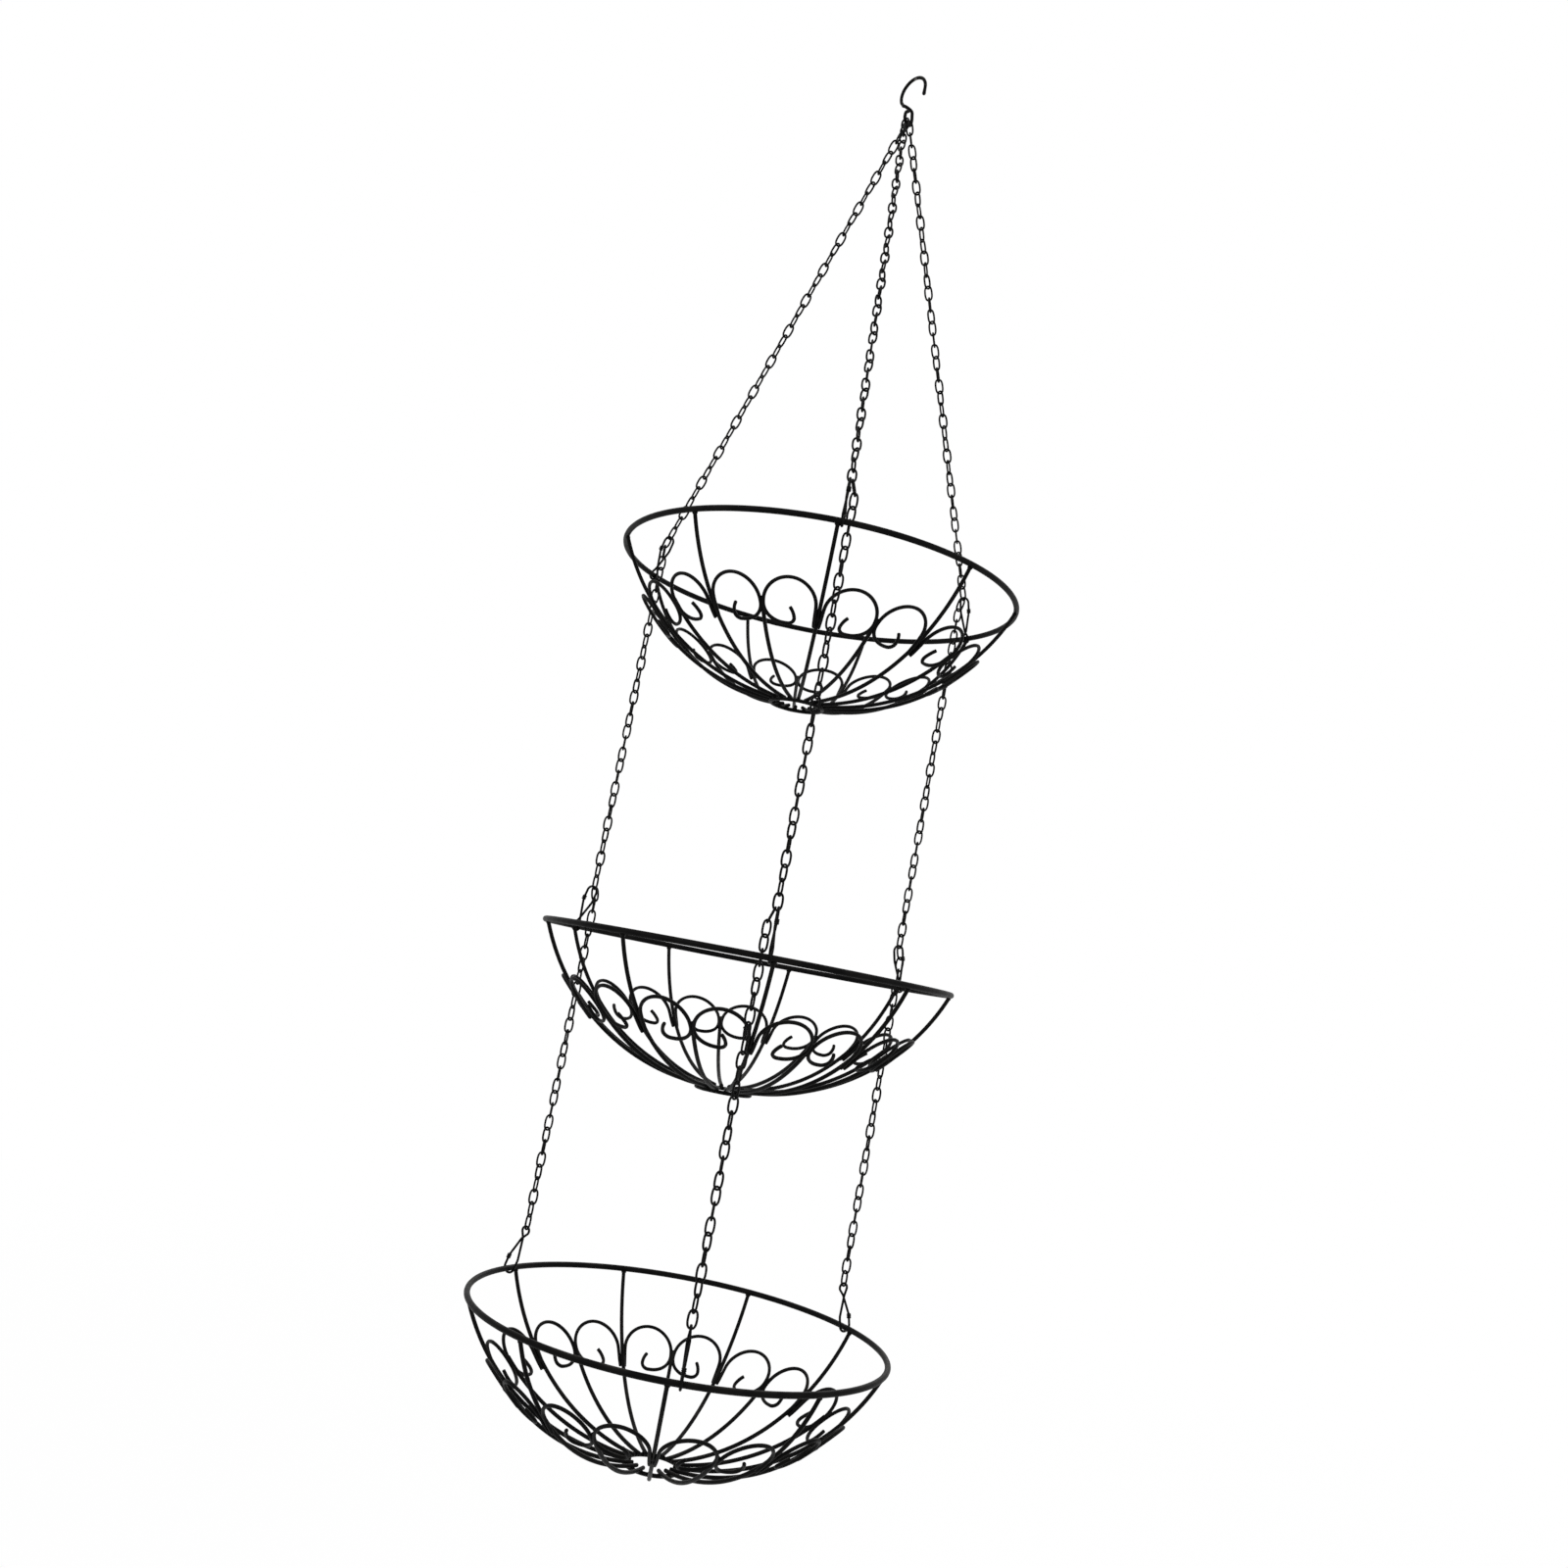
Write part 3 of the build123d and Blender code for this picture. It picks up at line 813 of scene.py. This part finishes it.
def clip_line(apex, eye_centre):
    """The clip's centre line, from its latch round the wide end and the eye to the other arm."""
    arm, crossing = apex + CLIP_ARM, eye_centre - CLIP_CROSSING
    wide = arc((0, apex + CLIP_HALF), CLIP_HALF, 0, -180, CLIP_END_STEPS)
    eye = arc((0, eye_centre), CLIP_EYE, EYE_FIRST, EYE_LAST, CLIP_EYE_STEPS)
    corners = [(CLIP_HALF, apex + CLIP_LATCH, 0)]
    corners += [(x, y, 0) for x, y in wide]
    corners += [(-CLIP_HALF, arm, ARM_BEND), (0, crossing, CROSSING_BEND)]
    corners += [(x, y, 0) for x, y in eye]
    corners += [(0, crossing, CROSSING_BEND), (CLIP_HALF, arm, ARM_BEND)]
    corners += [(CLIP_HALF, apex + CLIP_LATCH + LATCH_GAP, 0)]
    drawn = bend(corners)
    tip = max(range(len(drawn)), key=lambda i: drawn[i][1])
    heights, lifts = (arm, crossing, drawn[tip][1]), (0, CROSSING_LIFT, 0)
    line = []
    for i, (x, y) in enumerate(drawn):
        lift = np.interp(y, heights, lifts)
        line.append((x, y, lift if i < tip else -lift))
    return line


def node_point(tier, side):
    """Where a bowl's clip holds its chain: the lower end of the last link of the chain above."""
    if tier == "top":
        link = min(link_places(f"upper_chain_{side}"), key=lambda place: place.translation.z)
    else:
        link = max(link_places(f"{tier}_held_links_{side}"), key=lambda place: place.translation.z)
    return link.translation + link.to_3x3().col[2] * (link_pitch / 2)


print("clip drawing", len(clip_line(-CLIP_SEAT, TRIAL_LENGTH)), "points")

# %% [markdown]
# A clip is laid between the two things that it joins, the node of the chain and the rim wire,
# whose places come from the model. On the two upper bowls the wide end holds the chain and the eye
# sits on the rim; the bottom bowl's clips hang the other way up. The model's clips sit a little
# beside their ribs, and the new ones take that offset over.

# %% Spring clips in place
CLIP_CURL = 1.1 * MM
CURL_RADIUS = 0.55 * MM
CURL_COUNT = 3
CURL_TURN, CURL_STEPS = 324, 9
CLIP_SIDES = 10
CLIP_RUB = 2.6 * MM
RIM_GAP = 0.1 * MM


def clip(tier, side):
    """One clip between its node link and the rim."""
    outward, sideways = round_about(radians(SIDES[side]))
    corners = solids(f"{tier}_clip_{side}")[0]
    along_rim = [sideways.dot(Vector(corner)) for corner in corners]
    offset = sideways * ((min(along_rim) + max(along_rim)) / 2)
    node = node_point(tier, side)
    node = outward * node.dot(outward) + offset + Vector((0, 0, node.z))
    rim = outward * RIM_RADIUS + offset + Vector((0, 0, rim_height(tier)))
    reach = (rim - node).length
    if tier == "bottom":
        origin, axis = rim, (node - rim).normalized()
        apex = -(RIM_WIRE / 2 + clip_half_wire + RIM_GAP)
        eye_centre = reach - CLIP_EYE + CLIP_SEAT
    else:
        origin, axis = node, (rim - node).normalized()
        apex, eye_centre = -CLIP_SEAT, reach
    across = (outward - axis * outward.dot(axis)).normalized()
    place = Matrix((across, axis, across.cross(axis))).transposed().to_4x4()
    place.translation = origin
    stock = Stock()
    line = clip_line(apex, eye_centre)
    rubs = [((0, end, 0), CLIP_RUB) for end in (apex, eye_centre + CLIP_EYE)]
    stock.wire(line, (0, 0, 1), clip_half_wire, CLIP_SIDES, place=place, rubs=rubs)
    for i in range(CURL_COUNT):
        height = apex + CLIP_LATCH + CURL_RADIUS * (2 * i - 1)
        turns = arc((0, 0), CLIP_CURL, 0, CURL_TURN, CURL_STEPS)
        curl = [(CLIP_HALF + x, height, z) for x, z in turns]
        stock.wire(curl, (0, 1, 0), CURL_RADIUS, closed=True, place=place)
    dress(f"{tier}_clip_{side}", stock)
    return reach


for tier in TIERS:
    print(tier, "clip reach", [round(clip(tier, side) / MM, 2) for side in SIDES])

# %% [markdown]
# The ceiling hook is one wire: an open crook that hangs on a bracket, a neck that brings it back
# to the middle, and an eye for the three chains. It's drawn flat first. The eye lies in the
# upright plane of the axis on which the basket swings, because the chains rock on its wire, and
# the crook faces another way, so the drawing is turned about the plumb line as it rises through
# the neck. For that its points are first spread evenly along the wire. The corners of the eye
# are given sideways and upward from its bottom, with the radius of each bend.

# %% The ceiling hook
HOOK_WIRE = 2.5 * MM
CROOK_RADIUS = 11.6 * MM
CROOK_HEADING = -50.0
HOOK_DROP = 37.3 * MM
CROOK_TURN, CROOK_STEPS = 208, 40
NECK_TWIST = (8.5 * MM, 18.0 * MM)
TIP_LENGTH = 5.0 * MM
TIP_SWELL = 0.14
HOOK_STEPS, HOOK_SIDES = 110, 12
CROOK_RUB, EYE_RUB = 5.0 * MM, 4.5 * MM
EYE_CORNERS_MM = (
    (-3.6, 12.3, 6), (3.4, 10.6, 4), (4.75, 6.2, 6), (4.6, 0.1, 4.2),
    (-4.6, 0.1, 4.2), (-4.75, 6.6, 5), (-1.7, 9.0, 0),
)
crook_rise = HOOK_DROP - CROOK_RADIUS
swing = next(joint for joint in record["behaviour"]["joints"] if joint["name"] == "top_swing")
eye_turn = atan2(swing["axis"][1], swing["axis"][0])
eye_height = HOOK_WIRE / 2 - HOOK_DROP


def hook_drawing():
    """The hook's centre line and the wire up to each point, sideways and upward from the eye."""
    corners = [(CROOK_RADIUS, crook_rise - TIP_LENGTH, 0)]
    crook = arc((0, crook_rise), CROOK_RADIUS, 0, CROOK_TURN, CROOK_STEPS)
    corners += [(x, y, 0) for x, y in crook]
    corners += [(x * MM, y * MM, radius * MM) for x, y, radius in EYE_CORNERS_MM]
    drawn = np.array(bend(corners))
    walked = np.concatenate([[0], np.cumsum(np.linalg.norm(np.diff(drawn, axis=0), axis=1))])
    steps = np.linspace(0, walked[-1], HOOK_STEPS)
    return np.stack([np.interp(steps, walked, column) for column in drawn.T], axis=1), steps


def hook_wire():
    """The hook's line in space, the direction square to its bend, and its swell, by point."""
    drawn, walked = hook_drawing()
    side, rise = drawn.T
    low, high = NECK_TWIST
    share = np.clip((rise - low) / (high - low), 0, 1)
    share = share * share * (3 - 2 * share)
    turn = eye_turn + (radians(CROOK_HEADING) - eye_turn) * share
    line = np.stack([side * np.cos(turn), side * np.sin(turn), rise + eye_height], axis=1)
    flat = np.stack([np.sin(turn), -np.cos(turn), np.zeros(len(turn))], axis=1)
    return line, flat, 1 + TIP_SWELL * np.exp(-((walked / HOOK_WIRE) ** 2))


stock = Stock()
line, flat, swell = hook_wire()
rubs = [((0, 0, 0), CROOK_RUB), ((0, 0, eye_height + HOOK_WIRE / 2), EYE_RUB)]
stock.wire(line, flat, HOOK_WIRE / 2, HOOK_SIDES, swell=swell, tip=ROUND_TIP, rubs=rubs)
dress("ceiling_hook", stock)
print("eye turned", round(degrees(eye_turn), 1), "degrees, its wire at", eye_height)

# %% [markdown]
# The basket hangs in a white studio. A floor lies well below it and takes its shadow. Seen by the
# camera, and in reflections, floor and world are white because Light Path says so, and not
# because more light falls on the object: the lamps stay at a plain level. Away from the basket,
# where no shadow falls, the floor fades into the world, so no horizon shows.

# %% Floor, world and lamps
FLOOR_DROP = 350.0 * MM
FLOOR_SIZE = 30.0
FLOOR_WHITE = 0.82
FLOOR_FADE = (0.9, 3.0)
PALE = (0.98, 0.98, 0.98, 1)
WHITE = (1, 1, 1, 1)
WORLD_LIGHT = 0.85
LAMPS = {
    "key": ((-1.3, -1.5, 1.2), 0.9, 9.0),
    "fill": ((1.7, -0.9, 0.3), 1.2, 4.0),
    "back": ((0.6, 1.8, 1.0), 0.9, 5.0),
}


def seen_white(graph):
    """1 for rays from the camera and for reflected and transmitted ones."""
    camera_ray = graph.add("ShaderNodeLightPath", {}, {}, "Is Camera Ray")
    glossy = graph.add("ShaderNodeLightPath", {}, {}, "Is Glossy Ray")
    clear = graph.add("ShaderNodeLightPath", {}, {}, "Is Transmission Ray")
    return camera_ray, glossy.math("MAXIMUM", glossy, clear)


def studio_floor():
    """A wide pale floor, white to the camera but for the object's shadow."""
    material = bpy.data.materials.new("studio_floor")
    graph = Graph(material)
    camera_ray, mirrored = seen_white(graph)
    pale = graph.add("ShaderNodeBsdfDiffuse", {}, {"Color": PALE})
    white = graph.add("ShaderNodeEmission", {}, {"Color": WHITE, "Strength": 1.0})
    place = graph.add("ShaderNodeTexCoord", {}, {}, "Object")
    away = graph.add("ShaderNodeVectorMath", {"operation": "LENGTH"}, {0: place}, "Value")
    plain = away.above(*FLOOR_FADE) * (1 - FLOOR_WHITE) + FLOOR_WHITE
    share = mirrored.math("MAXIMUM", camera_ray * plain, mirrored)
    mixed = graph.add("ShaderNodeMixShader", {}, {0: share, 1: pale, 2: white})
    graph.add("ShaderNodeOutputMaterial", {}, {"Surface": mixed})
    mesh = bpy.data.meshes.new("floor")
    level = cad_box[0][2] - FLOOR_DROP
    half = FLOOR_SIZE / 2
    corners = [(-half, -half), (half, -half), (half, half), (-half, half)]
    mesh.from_pydata([(x, y, level) for x, y in corners], [], [(0, 1, 2, 3)])
    mesh.materials.append(material)
    floor = bpy.data.objects.new("floor", mesh)
    bpy.context.collection.objects.link(floor)


def studio_world():
    """White to the camera and in reflections, and a soft even light for the rest."""
    world = bpy.data.worlds.new("studio")
    graph = Graph(world)
    camera_ray, mirrored = seen_white(graph)
    seen = mirrored.math("MAXIMUM", camera_ray, mirrored)
    strength = seen * (1 - WORLD_LIGHT) + WORLD_LIGHT
    light = graph.add("ShaderNodeBackground", {}, {"Color": WHITE, "Strength": strength})
    graph.add("ShaderNodeOutputWorld", {}, {"Surface": light})
    bpy.context.scene.world = world


def lamp(name, spot, target, size, power):
    """A soft square lamp that faces a point."""
    data = bpy.data.lights.new(name, "AREA")
    data.size, data.energy = size, power
    obj = bpy.data.objects.new(name, data)
    obj.location = spot
    obj.rotation_euler = (Vector(target) - Vector(spot)).to_track_quat("-Z", "Y").to_euler()
    bpy.context.collection.objects.link(obj)


studio_floor()
studio_world()
middle = Vector((0, 0, rim_height("middle")))
for name, (spot, size, power) in LAMPS.items():
    lamp(name, middle + Vector(spot), middle, size, power)
bpy.context.scene.view_settings.view_transform = "Standard"
print("floor at", cad_box[0][2] - FLOOR_DROP)
